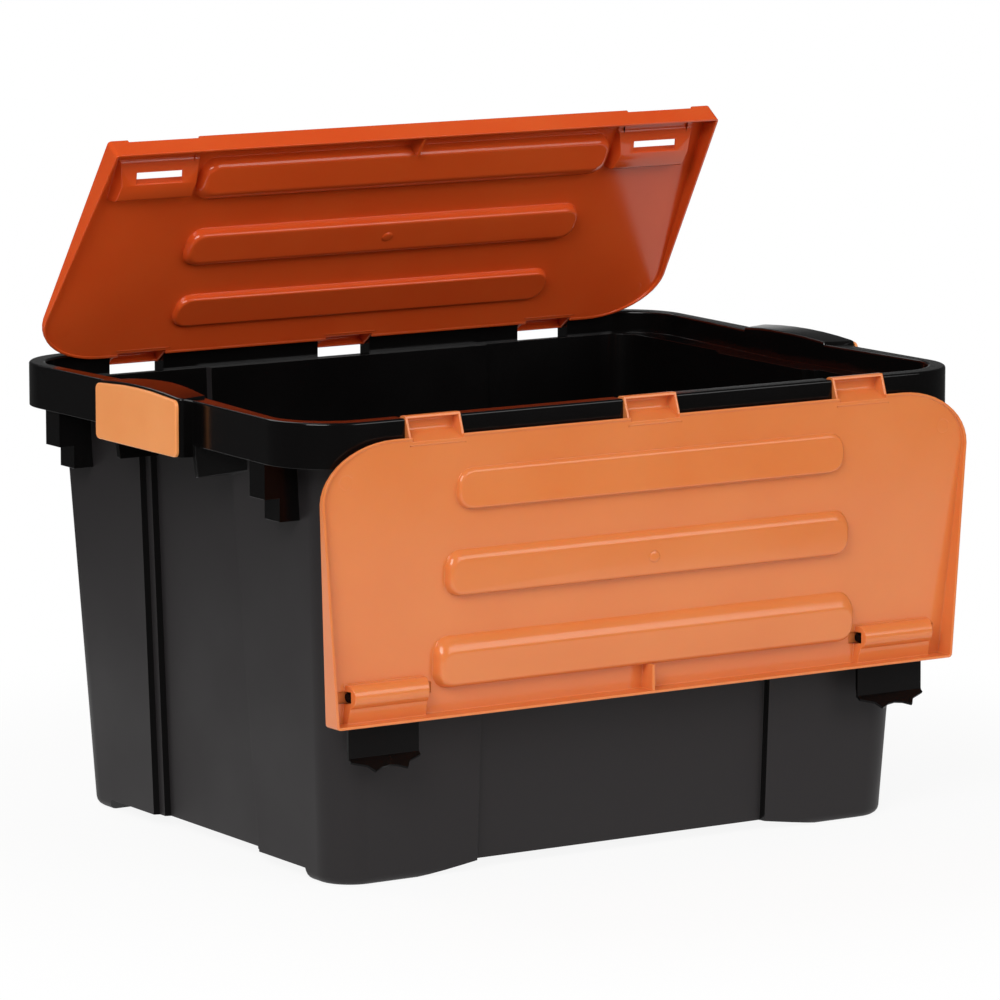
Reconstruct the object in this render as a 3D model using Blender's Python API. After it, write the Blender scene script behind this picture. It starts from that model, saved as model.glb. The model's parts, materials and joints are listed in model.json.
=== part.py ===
# Storage box: a tub with a folded rim, two half-lids on snap hinges, two latches and two handle plates.
# The model stands as photographed: front lid hanging open, rear lid half open.
# X runs along the long side, Y to the back, Z up; the origin is on the floor under the middle of the tub.
import bpy
import bmesh
import numpy as np
from math import asin, atan2, cos, hypot, radians, sin, sqrt

# Tub body
BASE_X = 0.2455
BASE_Y = 0.1870
DRAFT_X = 0.054
DRAFT_Y = 0.050
TUB_CORNER = 0.028
WALL = 0.0025
FLOOR = 0.0030
FOOT_HEIGHT = 0.0080
FOOT_ROUND = 0.0060
FOOT_DEPTH = 0.044
FOOT_RAMP = 0.0525
FOOT_SLANT = 0.004
FLOOR_FILLET = 0.008

# Recessed panels between the corner columns
END_STEP = 0.0045
END_PANEL_BASE = 0.078
END_PANEL_TOP = 0.067
STEP_LEDGE = 0.009
STEP_SLANT = 0.0015
SIDE_STEP = 0.005
SIDE_PANEL = 0.1255

# Folded rim, and the ledge that the lids rest on
RIM_TOP = 0.3413
RIM_SKIRT = 0.0328
RIM_Y = 0.2205
RIM_BAR = 0.0140
RIM_X = 0.2930
RIM_TAPER = 0.0060
RIM_IN_X = 0.2854
RIM_IN_TAPER = 0.0153
RIM_CORNER = 0.052
RIM_IN_CORNER = 0.044
RIM_ROUND = 0.0018
LEDGE_DROP = 0.0172

# Handle bulge on each end, its plate, and the lugs under the rim
BULGE_X = 0.2995
BULGE_HALF = 0.0600
BULGE_SIDE = 0.004
BULGE_DROP = 0.0085
BULGE_RISE = 0.0018
BULGE_CROWN = 0.0030
BULGE_DRAW = 0.88
NECK = 0.0006
PLATE_INSET = 0.0005
PLATE_DROP = 0.0018
PLATE_THICK = 0.0028
PLATE_ROUND = 0.0040
PLATE_EDGE = 0.0008
LUG_Y = 0.151
LUG_THICK = 0.021
LUG_DROP = 0.0763
LUG_STEP_X = 0.2765
LUG_STEP = 0.017
GRIP_EDGE = 0.0045
GRIP_FLARE = 0.045
GRIP_X = 0.2872
GRIP_DROP = 0.0575
GRIP_SLANT = 0.0030
GRIP_RISE = 0.012

# Snap hinges
HINGE_INSET = 0.0055
HINGE_DROP = 0.0040
TAB_PITCH = 0.185
TAB_HALF = 0.023
TAB_WALL = 0.0020
TAB_ARCH = 0.0050
TAB_LIP = 0.0052
TAB_LEG = 0.0060
TRUNNION = 0.0024
TRUNNION_LENGTH = 0.0030
NOTCH_DEPTH = 0.0213
SOCKET_PLATE = 0.0035
FIT = 0.0003
SIDE_FIT = 0.0005

# Half-lids
LID_EDGE = 0.0092
LID_MEET = 0.0038
LID_END_FIT = 0.0010
LID_WALL = 0.0020
LID_LIP = 0.0004
LID_SEAT_RISE = 0.0028
LID_RIDGE = 0.0074
LID_CHAMFER = 0.0010
LID_CORNER_U = 0.060
LID_CORNER_V = 0.042
LID_FREE_CORNER = 0.003
BEAD_V = (0.0496, 0.1103, 0.1745)
BEAD_GAP = 0.0049
BEAD_HALF_STEP = 0.0072
BEAD_FIRST_WIDTH = 0.030
BEAD_WIDTH_STEP = 0.004
BEAD_FIRST_DEPTH = 0.0042
BEAD_DEPTH_STEP = 0.0024
BEAD_CORNER = 0.012
BEAD_FORM = ((0.35, 0.05), (0.70, 0.15), (0.92, 0.35), (1.00, 0.62))
GUSSET = 0.0025
NUB = 0.0030
NUB_HEIGHT = 0.0012
FRONT_OPEN_FIT = 0.0003
FREE_HANG = radians(269.2)
REAR_OPEN = radians(54.37)

# Latches, their housings on the front lid and their slots in the rear lid
LATCH_U = 0.222
LATCH_HALF = 0.0293
LATCH_PIVOT = 0.192
LATCH_REACH = 0.0465
LATCH_PLATE = 0.0020
LATCH_SINK = 0.0005
LATCH_EYE = 0.0052
LATCH_TRUNNION = 0.0032
LATCH_HOLE_FIT = 0.0008
LATCH_RIB = 0.0013
LATCH_RIB_WIDTH = 0.0016
HOOK_LENGTH = 0.0145
HOOK_SHOULDER = 0.0040
HOOK_ANGLE = radians(52.0)
HOOK_WAIST = 0.0175
HOOK_LOBE = 0.0134
HOOK_NOTCH = 0.0045
EYE_FIT = 0.0009
HOUSING_WALL = 0.0042
HOUSING_DRAFT = 0.25
HOUSING_BARREL = 0.0027
HOUSING_FACE = 0.0036
POCKET_V = 0.176
POCKET_DEPTH = 0.0061
POCKET_SLOPE = 0.015
POCKET_TAIL = 0.0170
SLOT_FIT = 0.0020
SLOT_REACH = 0.0038

# Values that follow from the sizes above
RIM_IN_Y = RIM_Y - RIM_BAR
LEDGE_Z = RIM_TOP - LEDGE_DROP
SKIRT_Z = RIM_TOP - RIM_SKIRT
HINGE_Y = RIM_Y - HINGE_INSET
HINGE_Z = RIM_TOP - HINGE_DROP
PLATE_HALF = BULGE_HALF - PLATE_INSET
LID_LENGTH = HINGE_Y - LID_MEET / 2
LID_SEAT = LEDGE_Z + FIT - HINGE_Z
LID_TOP = LID_SEAT + LID_LIP + LID_WALL
LID_SLOPE = (LID_RIDGE - LID_TOP) / (LID_LENGTH - LID_EDGE)
LATCH_TOP = LID_RIDGE - LATCH_SINK
LATCH_UNDER = LATCH_TOP - LATCH_PLATE
LATCH_Z = LATCH_TOP - LATCH_EYE - LATCH_SINK
RECESS_FLOOR = LATCH_UNDER - FIT
RECESS_HALF = LATCH_HALF + 2 * SIDE_FIT
HOUSING_HALF = RECESS_HALF + HOUSING_WALL
WELL_FLOOR = RECESS_FLOOR - POCKET_DEPTH
BEAD_LAST_HALF = LATCH_U - HOUSING_HALF - BEAD_GAP
CORNER_STEPS = 12
BULGE_STEPS = 3
ROUND_STEPS = 4
ABOVE = 0.010
SHARP = radians(32)

ORANGE = (0.76, 0.235, 0.055)
BLACK = (0.016, 0.015, 0.016)


def clear_scene():
    for item in list(bpy.data.objects):
        bpy.data.objects.remove(item, do_unlink=True)


def plastic(name, colour, roughness):
    material = bpy.data.materials.new(name)
    material.use_nodes = True
    shader = material.node_tree.nodes["Principled BSDF"]
    shader.inputs["Base Color"].default_value = (*colour, 1.0)
    shader.inputs["Roughness"].default_value = roughness
    shader.inputs["Metallic"].default_value = 0.0
    return material


# Points on an arc of a circle or an ellipse, angles in degrees
def arc(cx, cy, rx, ry, start, end, steps):
    angles = np.radians(np.linspace(start, end, steps + 1))
    return [(cx + rx * cos(a), cy + ry * sin(a)) for a in angles]


# Loops of equal length joined by quads, with a flat cap on the first and the last
def loft(loops):
    count = len(loops[0])
    faces = []
    for k in range(len(loops) - 1):
        low = k * count
        high = low + count
        for i in range(count):
            j = (i + 1) % count
            faces.append((low + i, low + j, high + j, high + i))
    last = (len(loops) - 1) * count
    faces.append(tuple(range(count - 1, -1, -1)))
    faces.append(tuple(range(last, last + count)))
    return np.vstack(loops), faces


# A (y, z) outline carried along X
def prism_x(outline, x0, x1):
    return loft([[(x, y, z) for y, z in outline] for x in (x0, x1)])


# An (x, z) outline carried along Y
def prism_y(outline, y0, y1):
    return loft([[(x, y, z) for x, z in outline] for y in (y0, y1)])


def box(x0, x1, y0, y1, z0, z1):
    return prism_x([(y0, z0), (y1, z0), (y1, z1), (y0, z1)], x0, x1)


def rod_x(x0, x1, y, z, radius, sides=20):
    return prism_x(arc(y, z, radius, radius, 0, 360, sides)[:-1], x0, x1)


def flipped(piece, sx=1, sy=1):
    points, faces = piece
    return points * np.array((sx, sy, 1.0)), faces


def shifted(piece, dx):
    points, faces = piece
    return points + np.array((dx, 0.0, 0.0)), faces


# One object from a list of closed pieces
def solid(name, pieces, material=None, parent=None):
    points = []
    faces = []
    for piece_points, piece_faces in pieces:
        start = len(points)
        points.extend(tuple(p) for p in piece_points)
        faces.extend(tuple(i + start for i in face) for face in piece_faces)
    mesh = bpy.data.meshes.new(name)
    mesh.from_pydata(points, [], faces)
    shape = bmesh.new()
    shape.from_mesh(mesh)
    bmesh.ops.recalc_face_normals(shape, faces=shape.faces)
    shape.to_mesh(mesh)
    shape.free()
    mesh.shade_smooth()
    mesh.set_sharp_from_angle(angle=SHARP)
    item = bpy.data.objects.new(name, mesh)
    bpy.context.collection.objects.link(item)
    item.parent = parent
    if material:
        mesh.materials.append(material)
    return item


# A hidden tool joined to, or cut from, an object
def work(target, operation, name, pieces):
    tool = solid(name, pieces, parent=target.parent)
    tool.hide_render = True
    tool.display_type = "WIRE"
    step = target.modifiers.new(name, "BOOLEAN")
    step.operation = operation
    step.solver = "EXACT"
    step.object = tool


# The worked form kept as the piece's own mesh, with its sharp edges marked
def settle(item):
    graph = bpy.context.evaluated_depsgraph_get()
    mesh = bpy.data.meshes.new_from_object(item.evaluated_get(graph))
    item.modifiers.clear()
    item.data = mesh
    mesh.shade_smooth()
    mesh.set_sharp_from_angle(angle=SHARP)


# Tub

# Half-length over the rim and inside it, both narrower toward the middle of each end
def end_outer(y):
    return RIM_X - RIM_TAPER * (HINGE_Y - abs(y)) / HINGE_Y


def end_inner(y):
    return RIM_IN_X - RIM_IN_TAPER * (HINGE_Y - abs(y)) / HINGE_Y


# Steps of a quarter round: inward share and upward share, from its foot to its crown
def quarter_round(steps):
    return [(1 - cos(radians(a)), sin(radians(a))) for a in np.linspace(0, 90, steps + 1)]


# A quarter outline runs from the +X axis to the +Y axis, and the other three mirror it
def whole(quarter):
    q = np.array(quarter)
    back = q[-2::-1] * (-1, 1, 1)
    far = q[1:] * (-1, -1, 1)
    close = q[-2:0:-1] * (1, -1, 1)
    return np.vstack((q, back, far, close))


def panel_edge(z):
    return END_PANEL_BASE + (END_PANEL_TOP - END_PANEL_BASE) * z / RIM_TOP


def column_x(z):
    return BASE_X + DRAFT_X * z


def column_y(z):
    return BASE_Y + DRAFT_Y * z


# Body section at one height: stepped end panel, corner column, shallow side panel
def body(z, inset=0.0):
    x_column = column_x(z) - inset
    y_column = column_y(z) - inset
    x_step = x_column - END_STEP
    x_panel = x_step - END_STEP
    edge = panel_edge(z)
    inner = edge - STEP_LEDGE
    radius = TUB_CORNER - inset
    points = [(x_panel, inner * share / 3) for share in range(3)]
    points += [(x_panel, inner - STEP_SLANT), (x_step, inner)]
    points += [(x_step, edge - STEP_SLANT), (x_column, edge)]
    points += [(x_column, edge + (y_column - radius - edge) * share / 3) for share in (1, 2)]
    points += arc(x_column - radius, y_column - radius, radius, radius, 0, 90, CORNER_STEPS)
    y_panel = y_column - SIDE_STEP
    points += [(SIDE_PANEL + STEP_SLANT, y_column), (SIDE_PANEL, y_panel), (0, y_panel)]
    return whole([(x, y, z) for x, y in points])


# The rim's top is raised and crowned over each handle
def bulge_rise(y):
    return BULGE_RISE + BULGE_CROWN * (1 - (y / BULGE_HALF) ** 2)


# Rim section between its outer and inner faces, measured in from one of them; it can hang lower on the bulges
def rim(z, from_outer=None, from_inner=None, crowned=True, hang=0.0):
    neck = BULGE_HALF + NECK
    flat = BULGE_HALF - BULGE_SIDE
    outer = [(BULGE_X, flat * share / 3) for share in range(3)]
    outer += arc(BULGE_X - BULGE_SIDE, flat, BULGE_SIDE, BULGE_SIDE, 0, 90, BULGE_STEPS)
    on_top = len(outer)
    outer += [(end_outer(y), y) for y in (neck, neck + NECK)]
    inner = [(end_inner(y * BULGE_DRAW), y * BULGE_DRAW) for x, y in outer]
    sides = (SIDE_PANEL + STEP_SLANT, SIDE_PANEL, 0)
    for points, edge, y_side, radius in (
        (outer, end_outer, RIM_Y, RIM_CORNER),
        (inner, end_inner, RIM_IN_Y, RIM_IN_CORNER),
    ):
        y_centre = y_side - radius
        points += arc(edge(y_centre) - radius, y_centre, radius, radius, 0, 90, CORNER_STEPS)
        points += [(x, y_side) for x in sides]
    quarter = []
    for k, ((xo, yo), (xi, yi)) in enumerate(zip(outer, inner)):
        span = hypot(xo - xi, yo - yi)
        share = from_outer / span if from_inner is None else 1 - from_inner / span
        rise = bulge_rise(yo) if crowned and k < on_top else 0
        drop = hang if k <= on_top else 0
        quarter.append((xo + (xi - xo) * share, yo + (yi - yo) * share, z + rise - drop))
    return whole(quarter)


# Lower edge of the skirt
def skirt(from_outer):
    return rim(SKIRT_Z, from_outer=from_outer, crowned=False, hang=BULGE_DROP)


def tub_shell():
    loops = [body(FOOT_ROUND * share, FOOT_ROUND * (1 - up)) for share, up in quarter_round(ROUND_STEPS)]
    web = LEDGE_Z - WALL
    loops += [body(web), rim(web, from_inner=WALL, crowned=False)]
    loops += [rim(RIM_TOP - WALL, from_inner=WALL), rim(RIM_TOP - WALL, from_outer=WALL)]
    loops += [skirt(WALL), skirt(0)]
    crown = quarter_round(ROUND_STEPS)
    loops += [rim(RIM_TOP - RIM_ROUND * (1 - up), from_outer=RIM_ROUND * share) for share, up in crown]
    loops += [rim(RIM_TOP - RIM_ROUND * (1 - up), from_inner=RIM_ROUND * share) for share, up in crown[::-1]]
    loops += [rim(LEDGE_Z, from_inner=0, crowned=False)]
    return loft(loops)


def tub_cavity():
    low = FOOT_HEIGHT + FLOOR
    loops = []
    for share, up in quarter_round(ROUND_STEPS):
        loops.append(body(low + FLOOR_FILLET * share, WALL + FLOOR_FILLET * (1 - up)))
    loops.append(body(LEDGE_Z, WALL))
    loops.append(body(LEDGE_Z + WALL, WALL))
    return loft(loops)


# Depth inside the end wall from which a lug under the rim starts
def lug_root(z):
    return column_x(z) - 2 * END_STEP - WALL / 2


# Stepped lug near a corner, under the rim
def corner_lug(high):
    low = RIM_TOP - LUG_DROP
    step = low + LUG_STEP
    reach = end_outer(LUG_Y) - WALL
    outline = [(lug_root(low), low), (LUG_STEP_X, low), (LUG_STEP_X, step)]
    outline += [(reach, step), (reach, high), (lug_root(high), high)]
    return prism_y(outline, LUG_Y - LUG_THICK / 2, LUG_Y + LUG_THICK / 2)


# Gusset at one side of a handle, wider and shallower toward the wall
def grip_gusset(high):
    low = RIM_TOP - GRIP_DROP
    inside = BULGE_HALF - GRIP_EDGE
    far = BULGE_HALF + GRIP_FLARE
    loops = []
    for z, x, rise in ((low, GRIP_X - GRIP_SLANT, GRIP_RISE), (SKIRT_Z, GRIP_X, 0), (high, GRIP_X, 0)):
        deep = lug_root(z)
        plan = [(deep, inside), (x, inside), (x, BULGE_HALF), (deep, far)]
        loops.append([(px, py, z + rise * (py - inside) / (far - inside)) for px, py in plan])
    return loft(loops)


def tub_lugs():
    high = LEDGE_Z - WALL / 2
    lugs = (corner_lug(high), grip_gusset(high))
    return [flipped(lug, sx, sy) for lug in lugs for sx in (-1, 1) for sy in (-1, 1)]


# Plates that close the rim at both ends of each hinge notch
def socket_plates():
    half = TAB_HALF + SIDE_FIT
    plate = (RIM_IN_Y + WALL / 2, RIM_Y - WALL / 2, RIM_TOP - NOTCH_DEPTH, RIM_TOP - WALL / 2)
    pieces = []
    for tab in (-TAB_PITCH, 0, TAB_PITCH):
        for side in (-1, 1):
            inside = tab + side * (half - WALL / 2)
            outside = tab + side * (half + SOCKET_PLATE)
            pair = box(min(inside, outside), max(inside, outside), *plate)
            pieces += [pair, flipped(pair, 1, -1)]
    return pieces


def hinge_notches():
    half = TAB_HALF + SIDE_FIT
    pieces = []
    for tab in (-TAB_PITCH, 0, TAB_PITCH):
        heights = (RIM_TOP - NOTCH_DEPTH, RIM_TOP + ABOVE)
        notch = box(tab - half, tab + half, RIM_IN_Y - FIT, RIM_Y + WALL, *heights)
        pieces += [notch, flipped(notch, 1, -1)]
    return pieces


def hinge_sockets():
    half = TAB_HALF + SIDE_FIT + SOCKET_PLATE + FIT
    tabs = (-TAB_PITCH, 0, TAB_PITCH)
    rods = [rod_x(tab - half, tab + half, HINGE_Y, HINGE_Z, TRUNNION + FIT) for tab in tabs]
    return rods + [flipped(rod, 1, -1) for rod in rods]


# The underside is raised between the four corner feet, in a cross with long ramps along X
def foot_relief():
    loops = []
    for z in (-FOOT_HEIGHT / 4, FOOT_HEIGHT):
        drop = 1 - z / FOOT_HEIGHT
        x = SIDE_PANEL + FOOT_RAMP * drop
        y = BASE_Y - FOOT_DEPTH + FOOT_SLANT * drop
        far = BASE_X + ABOVE
        quarter = [(far, 0, z), (far, y, z), (x, y, z), (x, far, z), (0, far, z)]
        loops.append(whole(quarter))
    return loft(loops)


def make_tub(material):
    tub = solid("tub", [tub_shell()], material)
    work(tub, "UNION", "tub_lugs", tub_lugs() + socket_plates())
    work(tub, "DIFFERENCE", "tub_cavity", [tub_cavity()])
    work(tub, "DIFFERENCE", "tub_notches", hinge_notches() + [foot_relief()])
    work(tub, "DIFFERENCE", "tub_sockets", hinge_sockets())
    settle(tub)


# Plate over the outer face of a handle bulge, with the crown of the rim along its top edge
def make_handle_plate(name, side, material):
    low = SKIRT_Z - BULGE_DROP + FIT
    high = RIM_TOP - PLATE_DROP

    def face(x, inset):
        half = PLATE_HALF - inset
        r = PLATE_ROUND - inset
        outline = arc(half - r, low + PLATE_ROUND, r, r, -90, 0, ROUND_STEPS)
        outline += arc(half - r, high - PLATE_ROUND, r, r, 0, 90, ROUND_STEPS)
        outline += [(half * share / 3, high - inset) for share in (1, 0)]
        mirrored = [(-y, z) for y, z in outline[-2::-1]]
        loop = []
        for y, z in outline + mirrored:
            rise = bulge_rise(y) * (z - low) / (high - low)
            loop.append((x, y, z + rise))
        return loop

    back = BULGE_X + FIT
    front = back + PLATE_THICK
    plate = loft([face(back, 0), face(front - PLATE_EDGE, 0), face(front, PLATE_EDGE)])
    solid(name, [flipped(plate, side, 1)], material)


# Lids: drawn closed about the hinge axis, with X along the hinge, Y inward and Z up

def lid_top(v):
    return LID_TOP + LID_SLOPE * (v - LID_EDGE)


def lid_under(v):
    return lid_top(v) - LID_WALL


# Lower edge of the lid's skirt, a little higher at the free edge
def lid_low(v):
    return LID_SEAT + LID_SEAT_RISE * (v - LID_EDGE) / (LID_LENGTH - LID_EDGE)


def lid_half(v):
    return end_inner(HINGE_Y - v) - LID_END_FIT


# Lid outline, drawn in by an inset all round
def lid_outline(inset):
    v_corner = LID_EDGE + LID_CORNER_V
    u_radius = LID_CORNER_U - inset
    v_free = LID_LENGTH - LID_FREE_CORNER
    free = LID_FREE_CORNER - inset
    half = [(0, LID_EDGE + inset)]
    u_corner = lid_half(v_corner) - inset - u_radius
    half += arc(u_corner, v_corner, u_radius, LID_CORNER_V - inset, -90, 0, CORNER_STEPS)
    half += arc(lid_half(v_free) - inset - free, v_free, free, free, 0, 90, ROUND_STEPS)
    half += [(0, LID_LENGTH - inset)]
    return half + [(-u, v) for u, v in half[-2:0:-1]]


def lid_shell():
    rim_loop = lid_outline(0)
    inner_loop = lid_outline(LID_WALL)
    loops = [[(u, v, lid_top(v)) for u, v in lid_outline(LID_CHAMFER)]]
    loops += [[(u, v, lid_top(v) - LID_CHAMFER) for u, v in rim_loop]]
    loops += [[(u, v, lid_low(v)) for u, v in rim_loop]]
    loops += [[(u, v, lid_low(v)) for u, v in inner_loop]]
    loops += [[(u, v, lid_under(v)) for u, v in inner_loop]]
    return loft(loops)


def bead_half_width(index):
    return (BEAD_FIRST_WIDTH + BEAD_WIDTH_STEP * index) / 2


# A round-ended bar pressed down through the panel: its outer form, or the hollow inside it
def bead(index, hollow):
    half = BEAD_LAST_HALF - BEAD_HALF_STEP * (len(BEAD_V) - 1 - index)
    width = bead_half_width(index)
    depth = BEAD_FIRST_DEPTH + BEAD_DEPTH_STEP * index
    shrink = LID_WALL if hollow else 0
    rise = LID_WALL + ABOVE if hollow else LID_WALL / 2
    profile = [(rise, 0), (shrink + LID_WALL / 4, 0)]
    profile += [(shrink - depth * sunk, draw) for sunk, draw in BEAD_FORM]
    loops = []
    for height, draw in profile:
        inset = shrink + depth * draw
        radius = BEAD_CORNER - inset / 2
        u = half - inset - radius
        v = width - inset - radius
        loop = []
        for start, su, sv in ((0, 1, 1), (90, -1, 1), (180, -1, -1), (270, 1, -1)):
            loop += arc(su * u, sv * v, radius, radius, start, start + 90, ROUND_STEPS)
        centre = BEAD_V[index]
        loops.append([(x, centre + y, lid_under(centre + y) + height) for x, y in loop])
    return loft(loops)


# Arched tab that wraps the hinge axis flush with the rim: its outer form, or the hollow under it
def hinge_tab(tab, hollow):
    wall = TAB_WALL if hollow else 0
    out = wall - HINGE_INSET
    top = HINGE_DROP - wall
    spring = HINGE_DROP - TAB_ARCH
    radius = TAB_ARCH - wall
    inner = LID_EDGE - wall
    low = LID_SEAT - ABOVE if hollow else -TAB_LIP
    outline = [(out, low)]
    outline += arc(out + radius, spring, radius, top - spring, 180, 90, ROUND_STEPS)
    outline += arc(inner - radius, spring, radius, top - spring, 90, 0, ROUND_STEPS)
    outline += [(inner + TAB_LEG - wall / 2, LID_TOP - LID_CHAMFER)]
    outline += [(inner + TAB_LEG - wall / 2, low if hollow else LID_SEAT + LID_LIP)]
    half = TAB_HALF - wall
    return prism_x(outline, tab - half, tab + half)


def tab_trunnions():
    pieces = []
    for tab in (-TAB_PITCH, 0, TAB_PITCH):
        for side in (-1, 1):
            root = tab + side * (TAB_HALF - TAB_WALL / 2)
            tip = tab + side * (TAB_HALF + TRUNNION_LENGTH)
            pieces.append(rod_x(min(root, tip), max(root, tip), 0, 0, TRUNNION))
    return pieces


# Gusset between the last bead and the skirt, and the moulding nub on the middle bead
def lid_gusset():
    skirt_v = LID_LENGTH - LID_WALL / 2
    start = BEAD_V[-1] + bead_half_width(len(BEAD_V) - 1) - LID_WALL * 3 / 4
    low = lid_low(skirt_v) + LID_CHAMFER
    outline = [(start, lid_under(start) + LID_WALL / 2), (start, low)]
    outline += [(skirt_v, low), (skirt_v, lid_under(skirt_v) + LID_WALL / 2)]
    return prism_x(outline, -GUSSET / 2, GUSSET / 2)


def lid_nub():
    crest = lid_under(BEAD_V[1]) - BEAD_FIRST_DEPTH - BEAD_DEPTH_STEP
    loops = []
    for rise, radius in ((LID_WALL / 2, NUB), (-NUB_HEIGHT / 2, NUB), (-NUB_HEIGHT, NUB / 2)):
        ring = arc(0, BEAD_V[1], radius, radius, 0, 360, 12)[:-1]
        loops.append([(u, v, crest + rise) for u, v in ring])
    return loft(loops)


# Half-width of a latch housing, drawn in with depth under the panel
def housing_half(z):
    return HOUSING_HALF - HOUSING_DRAFT * (LID_RIDGE - z)


# Barrel that houses a latch's eye, running out to the skirt
def latch_housing():
    radius = LATCH_EYE + EYE_FIT + HOUSING_BARREL
    skirt_v = LID_LENGTH - LID_WALL / 2
    face = RECESS_FLOOR - HOUSING_FACE
    outline = arc(LATCH_PIVOT, LATCH_Z, radius, radius, 165, 335, 2 * CORNER_STEPS)
    outline += [(skirt_v, face), (skirt_v, lid_under(skirt_v) + LID_WALL / 2)]
    outline += [(outline[0][0], lid_under(outline[0][0]) + LID_WALL / 2)]
    return loft([[(side * housing_half(z), v, z) for v, z in outline] for side in (-1, 1)])


# Room for the eye and the plate, from the top and out through the free edge
def latch_recess():
    radius = LATCH_EYE + EYE_FIT
    high = LID_RIDGE + ABOVE
    outline = [(LATCH_PIVOT - radius, high)]
    outline += arc(LATCH_PIVOT, LATCH_Z, radius, radius, 180, 360, CORNER_STEPS)
    far = LID_LENGTH + ABOVE
    outline += [(LATCH_PIVOT + radius, RECESS_FLOOR), (far, RECESS_FLOOR), (far, high)]
    return prism_x(outline, -RECESS_HALF, RECESS_HALF)


def trunnion_holes():
    half = LATCH_TRUNNION + LATCH_HOLE_FIT
    ends = (RECESS_HALF - HOUSING_WALL, HOUSING_HALF + HOUSING_WALL)
    crown = LATCH_Z + LATCH_TRUNNION + FIT
    hole = box(*ends, LATCH_PIVOT - half, LATCH_PIVOT + half, LATCH_Z - half, crown)
    return [hole, flipped(hole, -1, 1)]


# Sloped pocket under the rear lid that takes the latch's hook
def hook_pocket():
    skirt_v = LID_LENGTH - LID_WALL / 2
    crest = WELL_FLOOR - LID_WALL
    tail = POCKET_V + POCKET_TAIL
    start = POCKET_V - POCKET_SLOPE
    face = RECESS_FLOOR - LID_WALL
    outline = [(start, lid_under(start) + LID_WALL / 2), (start, lid_under(start))]
    outline += [(POCKET_V + LID_WALL, crest)]
    outline += [(tail + LID_WALL, crest), (tail + 2 * LID_WALL, face), (skirt_v, face)]
    outline += [(skirt_v, lid_under(skirt_v) + LID_WALL / 2)]
    return prism_x(outline, -HOUSING_HALF, HOUSING_HALF)


def hook_well():
    high = LID_RIDGE + ABOVE
    tail = POCKET_V + POCKET_TAIL
    outline = [(POCKET_V, high), (POCKET_V, WELL_FLOOR), (tail, WELL_FLOOR), (tail, RECESS_FLOOR)]
    outline += [(LID_LENGTH + ABOVE, RECESS_FLOOR), (LID_LENGTH + ABOVE, high)]
    return prism_x(outline, -RECESS_HALF, RECESS_HALF)


# Place along the latch, measured from the front hinge axis, where the hook crosses a height
def hook_crossing(z):
    plate_mid = LATCH_TOP - LATCH_PLATE / 2
    return LATCH_PIVOT + LATCH_REACH + (plate_mid - z) * cos(HOOK_ANGLE) / sin(HOOK_ANGLE)


def hook_slot():
    centre = 2 * HINGE_Y - hook_crossing(WELL_FLOOR - LID_WALL / 2)
    half = HOOK_WAIST + SLOT_FIT
    heights = (WELL_FLOOR - ABOVE, WELL_FLOOR + LID_WALL)
    return box(-half, half, centre - SLOT_REACH, centre + SLOT_REACH, *heights)


def pair(pieces):
    return [shifted(piece, side * LATCH_U) for piece in pieces for side in (-1, 1)]


def make_lid(name, axis, material, housing, hollow, holes):
    lid = solid(name, [lid_shell()], material, axis)
    tabs = (-TAB_PITCH, 0, TAB_PITCH)
    bars = range(len(BEAD_V))
    forms = [bead(i, False) for i in bars] + [hinge_tab(tab, False) for tab in tabs]
    work(lid, "UNION", name + "_forms", forms + pair([housing]))
    hollows = [bead(i, True) for i in bars] + [hinge_tab(tab, True) for tab in tabs]
    work(lid, "DIFFERENCE", name + "_hollows", hollows + pair([hollow]))
    work(lid, "UNION", name + "_small", tab_trunnions() + [lid_nub(), lid_gusset()])
    work(lid, "DIFFERENCE", name + "_holes", pair(holes))
    settle(lid)


# Latch: eye and plate in one section, with trunnions, edge ribs and a two-lobed hook
def make_latch(name, side, front_axis, material):
    pivot = bpy.data.objects.new(name + "_pivot", None)
    bpy.context.collection.objects.link(pivot)
    pivot.parent = front_axis
    pivot.location = (side * LATCH_U, LATCH_PIVOT, LATCH_Z)
    top = LATCH_TOP - LATCH_Z
    under = LATCH_UNDER - LATCH_Z
    leave = np.degrees(asin(under / LATCH_EYE))
    section = arc(0, 0, LATCH_EYE, LATCH_EYE, 100, 360 + leave, 2 * CORNER_STEPS)
    section += [(LATCH_REACH, under), (LATCH_REACH, top), (0, top)]
    latch = solid(name, [prism_x(section, -LATCH_HALF, LATCH_HALF)], material, pivot)
    details = [hook(top)]
    stub = rod_x(LATCH_HALF - LATCH_EYE, housing_half(LATCH_Z) - FIT, 0, 0, LATCH_TRUNNION, 16)
    rib_ends = (2 * LATCH_EYE, LATCH_REACH - LATCH_EYE)
    rib_side = (LATCH_HALF - LATCH_RIB_WIDTH, LATCH_HALF - FIT)
    rib = box(*rib_side, *rib_ends, top - LATCH_PLATE / 2, top + LATCH_RIB)
    for piece in (stub, rib):
        details += [piece, flipped(piece, -1, 1)]
    work(latch, "UNION", name + "_details", details)
    settle(latch)


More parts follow.
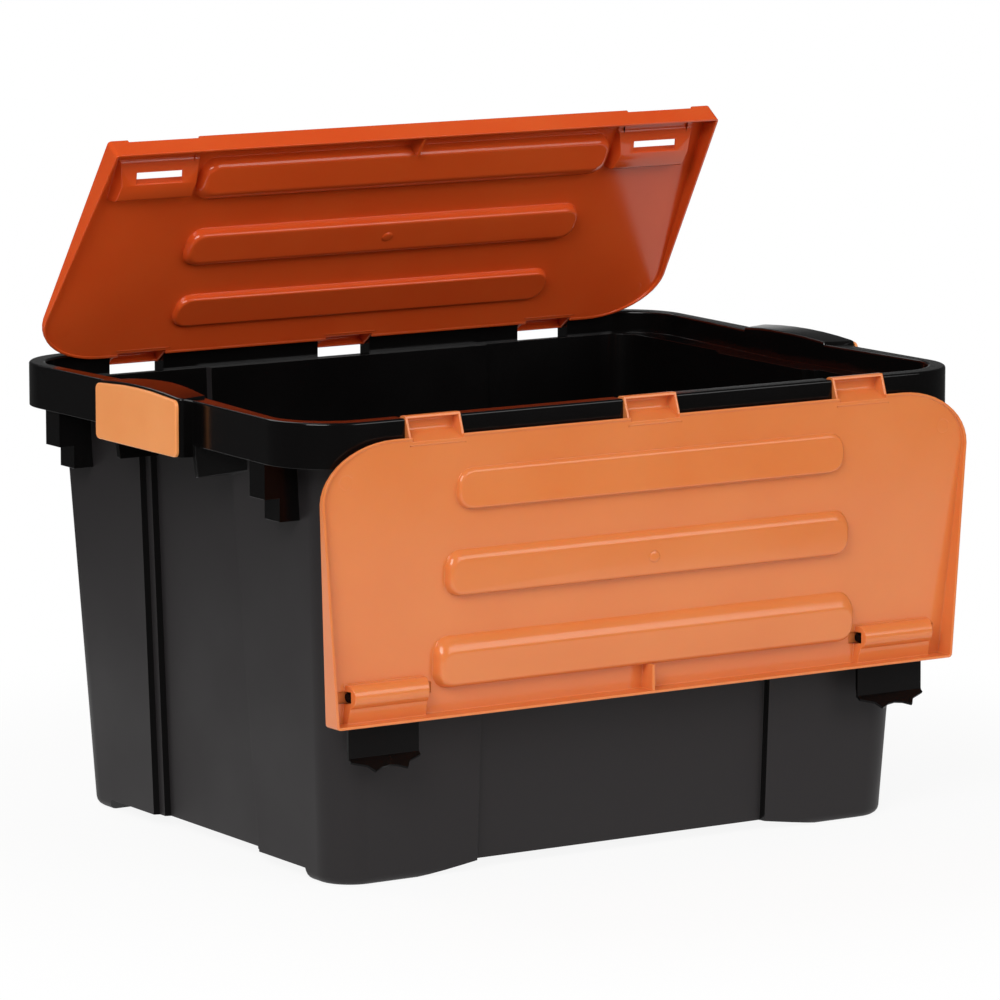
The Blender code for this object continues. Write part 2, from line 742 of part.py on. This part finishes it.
def hook(top):
    half = LATCH_PLATE / 2
    valley = HOOK_LENGTH - HOOK_NOTCH
    right = [(LATCH_HALF - FIT, -half), (LATCH_HALF - FIT, HOOK_SHOULDER)]
    right += [(HOOK_WAIST, HOOK_SHOULDER + HOOK_NOTCH), (HOOK_LOBE, HOOK_LENGTH)]
    right += [(HOOK_LOBE / 2, valley + HOOK_NOTCH / 4), (0, valley)]
    edge = right + [(-u, s) for u, s in right[-2::-1]]
    along = (cos(HOOK_ANGLE), -sin(HOOK_ANGLE))
    across = (sin(HOOK_ANGLE), cos(HOOK_ANGLE))
    loops = []
    for offset in (-half, half):
        loop = []
        for u, s in edge:
            v = LATCH_REACH - half + s * along[0] + offset * across[0]
            z = top - half + s * along[1] + offset * across[1]
            loop.append((u, v, z))
        loops.append(loop)
    return loft(loops)


# Opening angle at which a lid hangs by its weight, or with its top face against the lower edge of the rim
def hanging_angle():
    out = HINGE_INSET
    down = HINGE_Z - SKIRT_Z
    a = down - LID_SLOPE * out
    b = out + LID_SLOPE * down
    c = LID_TOP - LID_SLOPE * LID_EDGE + FRONT_OPEN_FIT * sqrt(1 + LID_SLOPE ** 2)
    lean = asin(c / hypot(a, b)) + atan2(b, a)
    return min(FREE_HANG, radians(270) - lean)


def hinge_axis(name, side, angle):
    axis = bpy.data.objects.new(name, None)
    bpy.context.collection.objects.link(axis)
    axis.location = (0, side * HINGE_Y, HINGE_Z)
    axis.rotation_euler = (angle, 0, radians(180) if side > 0 else 0)
    return axis


def main():
    clear_scene()
    make_tub(plastic("black tub plastic", BLACK, 0.42))
    orange = plastic("orange lid plastic", ORANGE, 0.38)
    front = hinge_axis("front_hinge", -1, hanging_angle())
    rear = hinge_axis("rear_hinge", 1, REAR_OPEN)
    make_lid("front_lid", front, orange, latch_housing(), latch_recess(), trunnion_holes())
    make_lid("rear_lid", rear, orange, hook_pocket(), hook_well(), [hook_slot()])
    black = plastic("black latch plastic", BLACK, 0.25)
    plate = plastic("orange handle plastic", ORANGE, 0.34)
    for label, side in (("left", -1), ("right", 1)):
        make_latch("latch_" + label, side, front, black)
        make_handle_plate("handle_plate_" + label, side, plate)


main()
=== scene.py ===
import json
import math
import bmesh
import bpy
import numpy as np
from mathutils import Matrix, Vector


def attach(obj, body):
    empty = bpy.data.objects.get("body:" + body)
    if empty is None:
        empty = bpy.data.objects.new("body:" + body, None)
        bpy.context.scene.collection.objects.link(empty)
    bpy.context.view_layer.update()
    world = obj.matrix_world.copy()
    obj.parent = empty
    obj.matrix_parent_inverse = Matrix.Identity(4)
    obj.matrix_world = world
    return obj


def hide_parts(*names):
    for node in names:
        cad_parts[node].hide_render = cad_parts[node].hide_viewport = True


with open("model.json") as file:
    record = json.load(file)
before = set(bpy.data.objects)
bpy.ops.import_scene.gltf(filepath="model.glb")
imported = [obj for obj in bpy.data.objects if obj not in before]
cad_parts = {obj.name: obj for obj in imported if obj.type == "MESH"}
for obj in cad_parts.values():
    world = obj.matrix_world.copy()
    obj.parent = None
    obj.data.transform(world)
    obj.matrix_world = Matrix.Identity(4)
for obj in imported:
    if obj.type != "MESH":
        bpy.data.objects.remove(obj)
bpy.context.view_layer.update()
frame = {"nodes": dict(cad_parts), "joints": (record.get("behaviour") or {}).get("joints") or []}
scene = bpy.context.scene
joints = {j["name"]: j for j in frame["joints"]}
print("frame loaded:", len(frame["nodes"]), "nodes")


# sRGB hex to linear colour
def hexColour(text):
    s = np.array([int(text[i:i + 2], 16) for i in (1, 3, 5)]) / 255
    linear = np.where(s <= 0.04045, s / 12.92, ((s + 0.055) / 1.055) ** 2.4)
    return (*linear.tolist(), 1.0)


# adds a node: settings are its own properties, inputs are socket values or the sockets to link from
def addNode(tree, kind, inputs=None, **settings):
    node = tree.nodes.new(kind)
    for key, value in settings.items():
        setattr(node, key, value)
    for key, value in (inputs or {}).items():
        if isinstance(value, bpy.types.NodeSocket):
            tree.links.new(value, node.inputs[key])
        else:
            node.inputs[key].default_value = value
    return node


def newMaterial(name):
    mat = bpy.data.materials.new(name)
    mat.use_nodes = True
    tree = mat.node_tree
    return mat, tree, tree.nodes["Principled BSDF"]


# one property of a mesh's vertices, faces or corners, a row for each
def readRows(collection, key, width, kind=float):
    rows = np.empty(len(collection) * width, dtype=kind)
    collection.foreach_get(key, rows)
    return rows.reshape(-1, width)


# studio: angles in degrees, places and sizes in metres, lamp power in watts
white = (1, 1, 1, 1)
studio = dict(
    azimuth=-32.663, elevation=8.9145, distance=4.65731, target=(0.01252, 0.0, 0.23535), lens=221.77,
    sensor=36, clipEnd=100, floorColour="#F4F3F1", floorRoughness=0.9,
    floorSpan=(-0.90, -1.0, 0.90, 0.75), floorGlow=0.90, floorFade=(0.40, 0.74),
    ambient=0.42, room=0.06, backdropEdge=(0.96, 0.995), lampAim=(0, 0, 0.25),
    key=dict(place=(-3.1, -2.5, 2.7), size=(2.4, 2.0), power=112),
    fill=dict(place=(1.4, -3.2, 1.7), size=(2.2, 1.8), power=34),
    top=dict(place=(-0.5, 2.2, 2.8), size=(2.6, 2.0), power=30),
)


# direction from the target to the camera
def cameraBack():
    a, e = math.radians(studio["azimuth"]), math.radians(studio["elevation"])
    return Vector((math.sin(a) * math.cos(e), -math.cos(a) * math.cos(e), math.sin(e)))


def makeCamera():
    back = cameraBack()
    data = bpy.data.cameras.new("photoCamera")
    data.sensor_width = studio["sensor"]
    data.lens = studio["lens"]
    data.clip_end = studio["clipEnd"]
    camera = bpy.data.objects.new("photoCamera", data)
    camera.location = Vector(studio["target"]) + back * studio["distance"]
    camera.rotation_euler = back.to_track_quat("Z", "Y").to_euler()
    scene.collection.objects.link(camera)
    scene.camera = camera


def makeLamp(name, place, size, power):
    data = bpy.data.lights.new(name, "AREA")
    data.shape = "RECTANGLE"
    data.size, data.size_y = size
    data.energy = power
    lamp = bpy.data.objects.new(name, data)
    lamp.location = place
    lamp.rotation_euler = (Vector(place) - Vector(studio["lampAim"])).to_track_quat("Z", "Y").to_euler()
    scene.collection.objects.link(lamp)


# the light path, and a factor of 1 for camera rays and the other kinds that see the same background
def backgroundRays(tree, kinds):
    ray = addNode(tree, "ShaderNodeLightPath")
    seen = ray.outputs["Is Camera Ray"]
    for kind in kinds:
        either = addNode(tree, "ShaderNodeMath", {0: seen, 1: ray.outputs[kind]}, operation="MAXIMUM")
        seen = either.outputs["Value"]
    return ray, seen


# sheet of white paper that glows to full white toward its edges
def makeFloor():
    x0, y0, x1, y1 = studio["floorSpan"]
    mesh = bpy.data.meshes.new("paperFloor")
    mesh.from_pydata([(x0, y0, 0), (x1, y0, 0), (x1, y1, 0), (x0, y1, 0)], [], [(0, 1, 2, 3)])
    floor = bpy.data.objects.new("paperFloor", mesh)
    scene.collection.objects.link(floor)
    mat, tree, shader = newMaterial("white paper sheet")
    coord = addNode(tree, "ShaderNodeTexCoord")
    reach = addNode(tree, "ShaderNodeVectorMath", {0: coord.outputs["Object"]}, operation="LENGTH")
    fadeStart, fadeEnd = studio["floorFade"]
    fade = addNode(tree, "ShaderNodeMapRange", {
        "Value": reach.outputs["Value"], "From Min": fadeStart, "From Max": fadeEnd,
        "To Min": studio["floorGlow"], "To Max": 1.0}, interpolation_type="SMOOTHSTEP")
    _, seen = backgroundRays(tree, ("Is Glossy Ray", "Is Transmission Ray"))
    share = addNode(tree, "ShaderNodeMath", {0: fade.outputs["Result"], 1: seen}, operation="MULTIPLY")
    glow = addNode(tree, "ShaderNodeEmission", {"Color": white, "Strength": 1.0})
    shader.inputs["Base Color"].default_value = hexColour(studio["floorColour"])
    shader.inputs["Roughness"].default_value = studio["floorRoughness"]
    mix = addNode(tree, "ShaderNodeMixShader", {
        0: share.outputs["Value"], 1: shader.outputs["BSDF"], 2: glow.outputs["Emission"]})
    tree.links.new(mix.outputs["Shader"], tree.nodes["Material Output"].inputs["Surface"])
    mesh.materials.append(mat)


# white everywhere for the camera; in reflections white straight ahead of the camera, and a dim room around
def makeWorld():
    world = bpy.data.worlds.new("studioWorld")
    world.use_nodes = True
    tree = world.node_tree
    coord = addNode(tree, "ShaderNodeTexCoord")
    toward = addNode(tree, "ShaderNodeVectorMath", {
        0: coord.outputs["Generated"], 1: -cameraBack()}, operation="DOT_PRODUCT")
    edgeStart, edgeEnd = studio["backdropEdge"]
    mirrored = addNode(tree, "ShaderNodeMapRange", {
        "Value": toward.outputs["Value"], "From Min": edgeStart, "From Max": edgeEnd,
        "To Min": studio["room"], "To Max": 1.0}, interpolation_type="SMOOTHSTEP")
    ray, seen = backgroundRays(tree, ("Is Transmission Ray",))
    level = addNode(tree, "ShaderNodeMapRange", {"Value": seen, "To Min": studio["ambient"]})
    glossy = addNode(tree, "ShaderNodeMapRange", {
        "Value": ray.outputs["Is Glossy Ray"], "To Min": level.outputs["Result"],
        "To Max": mirrored.outputs["Result"]})
    back = tree.nodes["Background"]
    back.inputs["Color"].default_value = white
    tree.links.new(glossy.outputs["Result"], back.inputs["Strength"])
    scene.world = world


scene.view_settings.view_transform = "Standard"
makeCamera()
makeFloor()
makeWorld()
for lampName in ("key", "fill", "top"):
    makeLamp(lampName + "Softbox", **studio[lampName])
print("studio ready")

# what all the mouldings share: polypropylene's optics, the noise that breaks up its tone, and how the packed
# forms are merged, rounded and shaded
plastic = dict(ior=1.49, bleed=(1.0, 0.22, 0.06), bleedScale=0.004, cloudDetail=3.0, cloudSpan=(0.3, 0.7),
               grainDetail=2.0)
moulding = dict(stepsPerMetre=1e6, flatDeg=0.4, sharpDeg=32, edgeSegments=2, evenWeight=60)


# noise of a given size in millimetres on the piece's own coordinates
def noiseOf(tree, coord, sizeMm, detail):
    return addNode(tree, "ShaderNodeTexNoise", {
        "Vector": coord.outputs["Object"], "Scale": 1000 / sizeMm, "Detail": detail})


# injection-moulded polypropylene: two close tones in a flow cloud, an uneven gloss and a fine grain,
# drawn coarser than the real etch so that it shows
def mouldedPlastic(name, f):
    mat, tree, shader = newMaterial(name)
    coord = addNode(tree, "ShaderNodeTexCoord")
    cloud = noiseOf(tree, coord, f["cloudMm"], plastic["cloudDetail"])
    # inputs 6 and 7 and output 2 are the mix's colours
    tone = addNode(tree, "ShaderNodeMix", {
        0: cloud.outputs["Fac"], 6: hexColour(f["deep"]), 7: hexColour(f["pale"])}, data_type="RGBA")
    tree.links.new(tone.outputs[2], shader.inputs["Base Color"])
    (cloudLow, cloudHigh), (smooth, dull) = plastic["cloudSpan"], f["roughness"]
    rough = addNode(tree, "ShaderNodeMapRange", {
        "Value": cloud.outputs["Fac"], "From Min": cloudLow, "From Max": cloudHigh,
        "To Min": smooth, "To Max": dull})
    tree.links.new(rough.outputs["Result"], shader.inputs["Roughness"])
    grain = noiseOf(tree, coord, f["grainMm"], plastic["grainDetail"])
    bump = addNode(tree, "ShaderNodeBump", {
        "Height": grain.outputs["Fac"], "Strength": f["grain"], "Distance": f["grainLift"]})
    tree.links.new(bump.outputs["Normal"], shader.inputs["Normal"])
    shader.inputs["IOR"].default_value = plastic["ior"]
    shader.inputs["Specular IOR Level"].default_value = f["shine"]
    shader.inputs["Subsurface Weight"].default_value = f.get("through", 0.0)
    shader.inputs["Subsurface Radius"].default_value = plastic["bleed"]
    shader.inputs["Subsurface Scale"].default_value = plastic["bleedScale"]
    return mat, tree, grain, bump


# a packed form with its corners merged, its edges rounded and its shading made even
def softEdged(node, body, piece):
    source = frame["nodes"][node].data
    co = readRows(source.vertices, "co", 3)
    corner = readRows(source.loops, "vertex_index", 1, int).ravel()
    steps = np.round(co * moulding["stepsPerMetre"])
    _, first, back = np.unique(steps, axis=0, return_index=True, return_inverse=True)
    faces = back.ravel()[corner].reshape(-1, 3)
    whole = (faces[:, 0] != faces[:, 1]) & (faces[:, 1] != faces[:, 2]) & (faces[:, 2] != faces[:, 0])
    mesh = bpy.data.meshes.new(piece["name"])
    mesh.from_pydata(co[first], [], faces[whole])
    shape = bmesh.new()
    shape.from_mesh(mesh)
    flat = math.radians(moulding["flatDeg"])
    bmesh.ops.dissolve_limit(shape, angle_limit=flat, verts=shape.verts, edges=shape.edges)
    shape.to_mesh(mesh)
    shape.free()
    sharp = math.radians(moulding["sharpDeg"])
    mesh.shade_smooth()
    mesh.set_sharp_from_angle(angle=sharp)
    item = bpy.data.objects.new(piece["name"], mesh)
    scene.collection.objects.link(item)
    bevel = item.modifiers.new("moulded edges", "BEVEL")
    bevel.limit_method = "ANGLE"
    bevel.angle_limit = sharp
    bevel.width = piece["edge"]
    bevel.segments = moulding["edgeSegments"]
    bevel.use_clamp_overlap = False
    even = item.modifiers.new("even shading", "WEIGHTED_NORMAL")
    even.weight = moulding["evenWeight"]
    even.keep_sharp = False
    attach(item, body)
    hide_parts(node)
    print(piece["name"], len(mesh.polygons), "faces")
    return item


# tub: etched satin walls outside, painted shade on the steps of the end panels, polished rim, lugs and inside
tubPiece = dict(name="tubMoulding", edge=0.00025, endX=0.2467, draft=0.054, skirtZ=0.300, underTurn=0.5,
                stepTurn=0.8, stepY=0.1)
wallFinish = dict(deep="#201D1E", pale="#272425", roughness=(0.46, 0.58), shine=0.28,
                  cloudMm=120, grainMm=1.4, grain=0.6, grainLift=0.00006)
rimFinish = dict(deep="#070606", pale="#0A0909", roughness=(0.13, 0.20), shine=0.40,
                 cloudMm=90, grainMm=3.0, grain=0.15, grainLift=0.00004)
# painted shade: the end-panel steps are drawn near-black and almost unreflecting so that they look shaded
stepShadeFinish = {**rimFinish, "roughness": (0.40, 0.50), "shine": 0.06}
tubFinishes = {"black etched polypropylene": wallFinish, "black polished polypropylene": rimFinish,
               "black polypropylene, painted step shade": stepShadeFinish}
etched, polished, paintedStepShade = range(len(tubFinishes))


# etched are the outer walls and the underside, but not the lugs that stand out from them; the narrow steps of
# the end panels are painted shade, near-black and almost without shine; the rest is polished
def finishTub(item, f):
    mesh = item.data
    centre = readRows(mesh.polygons, "center", 3)
    normal = readRows(mesh.polygons, "normal", 3)
    outward = ((centre[:, :2] * normal[:, :2]).sum(1) > 0) | (normal[:, 2] < -f["underTurn"])
    onWall = outward & (np.abs(centre[:, 0]) < f["endX"] + f["draft"] * centre[:, 2])
    onStep = (np.abs(normal[:, 1]) > f["stepTurn"]) & (np.abs(centre[:, 1]) < f["stepY"])
    finish = np.full(len(mesh.polygons), polished)
    # the steps take the painted shade
    finish[onWall & onStep] = paintedStepShade
    finish[onWall & ~onStep & (centre[:, 2] < f["skirtZ"])] = etched
    mesh.polygons.foreach_set("material_index", finish)


tub = softEdged("tub", "tub", tubPiece)
for name, finish in tubFinishes.items():
    tub.data.materials.append(mouldedPlastic(name, finish)[0])
finishTub(tub, tubPiece)

# half-lids: satin orange, a little light passes through the thin wall. Places are in a lid's own coordinates
# about its hinge: u along it, v toward the free edge, w up when closed
lidPiece = dict(front=dict(name="frontLidMoulding", edge=0.0005, openDeg=269.2, side=1),
                rear=dict(name="rearLidMoulding", edge=0.0005, openDeg=54.37, side=-1))
lidForm = dict(
    panelLow=-0.0133, panelSlope=0.0878, beadReach=0.183, nubV=0.1103, nubReach=0.0035, nubGrow=1.6,
    beads=(dict(v=0.0496, half=0.015, depth=0.0042, lean=0.0010, level=1.0),
           dict(v=0.1103, half=0.017, depth=0.0066, lean=0.0042, level=0.5),
           dict(v=0.1745, half=0.019, depth=0.0090, lean=0.0085, level=0.0)))
pocketForm = dict(
    pocketU=0.222, pocketHalf=0.0352, pocketTop=0.0015, slopeSpan=(0.160, 0.1795), floorSpan=(0.1755, 0.1955),
    slotV=0.1849, ridgeV=0.1795, ridgeShift=0.002, floorTilt=0.55, floorDrop=0.0022,
    endFrom=0.030, endDraft=0.25,
    rows=(dict(v=0.1622, w=-0.0036), dict(v=0.1642, w=-0.0066), dict(v=0.1670, w=-0.0080)),
    rowReach=1e-5, cutReach=1e-7)
lidFinish = dict(roughness=(0.13, 0.20), shine=0.5, through=0.2, cloudMm=70, grainMm=1.6, grain=0.25,
                 grainLift=0.00005, markAt=(0.260, 0.0375), markRadius=0.0052, markWidth=0.0006,
                 markDepth=0.0004)
# painted light and shade: one orange plastic in two tones, the front lid's paler tone lit and the rear lid's
# deeper red shaded
lidLitAndShadedTones = dict(front=dict(deep="#DD793E", pale="#E5884C"), rear=dict(deep="#DC4E1C", pale="#E45E26"))


# a lid's corners in its own coordinates, with the axes and the hinge that lead back from them
def lidCoords(item, joint, f):
    a, side = math.radians(f["openDeg"]), f["side"]
    axes = np.array(((1, 0, 0), (0, side * math.cos(a), math.sin(a)), (0, -side * math.sin(a), math.cos(a))))
    hinge = np.array(joints[joint]["pos_m"])
    return (readRows(item.data.vertices, "co", 3) - hinge) @ axes.T, axes, hinge


# plan coordinates in metres as the lid's own map
def planMap(item, local):
    mesh = item.data
    corner = readRows(mesh.loops, "vertex_index", 1, int).ravel()
    layer = mesh.uv_layers.new(name="lidPlan")
    layer.data.foreach_set("uv", local[corner, :2].ravel())


# height of a lid panel's underside
def panelUnder(v):
    return lidForm["panelLow"] + lidForm["panelSlope"] * v


# each bead's hinge side is drawn out into a long slope and its crest is levelled; the nub is swelled
def drawBeads(local, f):
    u, v, w = local.T
    nub = (np.hypot(u, v - f["nubV"]) < f["nubReach"]) & (w < panelUnder(v))
    u[nub] *= f["nubGrow"]
    v[nub] = f["nubV"] + (v[nub] - f["nubV"]) * f["nubGrow"]
    under = panelUnder(v)
    for bead in f["beads"]:
        off = v - bead["v"]
        inside = (np.abs(off) < bead["half"]) * (np.abs(u) < f["beadReach"])
        sunk = np.clip((under - w) / bead["depth"], 0, 1) * inside
        v += bead["lean"] * sunk ** 2 * (1 - off / bead["half"]) / 2
        w -= bead["level"] * f["panelSlope"] * off * sunk


# which corners belong to the rear lid's two hook pockets, between two places along v
def inPocket(local, f, start, end):
    u, v, w = local.T
    across = np.abs(np.abs(u) - f["pocketU"]) < f["pocketHalf"]
    return across & (v > start) & (v < end) & (w < f["pocketTop"])


# new rows of corners across each pocket's front slope
def cutPockets(item, local, axes, hinge, f):
    shape = bmesh.new()
    shape.from_mesh(item.data)
    slope = inPocket(local, f, *f["slopeSpan"])
    faces = [face for face in shape.faces if all(slope[vert.index] for vert in face.verts)]
    for row in f["rows"]:
        edges = {edge for face in faces for edge in face.edges}
        verts = {vert for face in faces for vert in face.verts}
        cut = bmesh.ops.bisect_plane(
            shape, geom=[*faces, *edges, *verts], dist=f["cutReach"],
            plane_co=Vector(hinge + row["v"] * axes[1]), plane_no=Vector(axes[1]))
        faces = [part for part in cut["geom"] if isinstance(part, bmesh.types.BMFace)]
    shape.to_mesh(item.data)
    shape.free()
    print("pocket slopes cut into", len(faces), "faces")


# each pocket's front slope swells to a crest, its floor tilts up from a ridge below the slot, and its ends
# are drafted
def swellPockets(local, f):
    u, v, w = local.T
    for row in f["rows"]:
        w[inPocket(local, f, row["v"] - f["rowReach"], row["v"] + f["rowReach"])] = row["w"]
    floor = inPocket(local, f, *f["floorSpan"])
    v[floor & (v < f["ridgeV"])] += f["ridgeShift"]
    w[floor] += f["floorTilt"] * (v[floor] - f["slotV"]) - f["floorDrop"]
    off = np.abs(u) - f["pocketU"]
    ends = inPocket(local, f, f["slopeSpan"][0], f["floorSpan"][1]) & (np.abs(off) > f["endFrom"])
    depth = np.maximum(panelUnder(v) - w, 0)
    u[ends] -= (np.sign(u) * np.sign(off) * f["endDraft"] * depth)[ends]


# ejector circles on a lid's own plan, sunk into the grain; both halves at once through the absolute value of u
def ejectorMarks(tree, grain, bump, f):
    plan = addNode(tree, "ShaderNodeUVMap", uv_map="lidPlan")
    parts = addNode(tree, "ShaderNodeSeparateXYZ", {0: plan.outputs["UV"]})
    across = addNode(tree, "ShaderNodeMath", {0: parts.outputs["X"]}, operation="ABSOLUTE")
    folded = addNode(tree, "ShaderNodeCombineXYZ", {0: across.outputs["Value"], 1: parts.outputs["Y"]})
    reach = addNode(tree, "ShaderNodeVectorMath", {
        0: folded.outputs["Vector"], 1: (*f["markAt"], 0)}, operation="DISTANCE")
    beyond = addNode(tree, "ShaderNodeMath", {
        0: reach.outputs["Value"], 1: f["markRadius"]}, operation="SUBTRACT")
    offRing = addNode(tree, "ShaderNodeMath", {0: beyond.outputs["Value"]}, operation="ABSOLUTE")
    ring = addNode(tree, "ShaderNodeMapRange", {
        "Value": offRing.outputs["Value"], "From Min": 0.0, "From Max": f["markWidth"],
        "To Min": 1.0, "To Max": 0.0}, interpolation_type="SMOOTHSTEP")
    relief = addNode(tree, "ShaderNodeMath", {
        0: ring.outputs["Result"], 1: -f["markDepth"] / f["grainLift"], 2: grain.outputs["Fac"]},
        operation="MULTIPLY_ADD")
    tree.links.new(relief.outputs["Value"], bump.inputs["Height"])


for end, piece in lidPiece.items():
    lid = softEdged(end + "_lid", end + "_lid", piece)
    joint = end + "_lid_hinge"
    local, axes, hinge = lidCoords(lid, joint, piece)
    if end == "rear":
        cutPockets(lid, local, axes, hinge, pocketForm)
        local, axes, hinge = lidCoords(lid, joint, piece)
    planMap(lid, local)
    drawBeads(local, lidForm)
    if end == "rear":
        swellPockets(local, pocketForm)
    lid.data.vertices.foreach_set("co", (hinge + local @ axes).ravel())
    lid.data.update()
    # each lid takes its painted tone: lit for the front lid, shaded for the rear lid
    finish = {**lidFinish, **lidLitAndShadedTones[end]}
    orange, tree, grain, bump = mouldedPlastic("orange satin polypropylene, " + end, finish)
    ejectorMarks(tree, grain, bump, finish)
    lid.data.materials.append(orange)

# latches and handle plates
latchPiece = dict(left=dict(name="latchLeftMoulding", edge=0.0003),
                  right=dict(name="latchRightMoulding", edge=0.0003))
latchFinish = dict(deep="#0A0909", pale="#0F0D0D", roughness=(0.12, 0.22), shine=0.07,
                   cloudMm=40, grainMm=2.0, grain=0.2, grainLift=0.00003)
platePiece = dict(left=dict(name="handlePlateLeftMoulding", edge=0.0003),
                  right=dict(name="handlePlateRightMoulding", edge=0.0003))
plateFinish = dict(deep="#F69855", pale="#FEA764", roughness=(0.34, 0.46), shine=0.5, through=0.1,
                   cloudMm=50, grainMm=1.4, grain=0.5, grainLift=0.00005)
latchBlack = mouldedPlastic("black latch polypropylene", latchFinish)[0]
plateOrange = mouldedPlastic("orange plate polypropylene", plateFinish)[0]
for hand in ("left", "right"):
    latch = softEdged("latch_" + hand, "latch_" + hand, latchPiece[hand])
    latch.data.materials.append(latchBlack)
    plate = softEdged("handle_plate_" + hand, "tub", platePiece[hand])
    plate.data.materials.append(plateOrange)
print("mouldings ready")
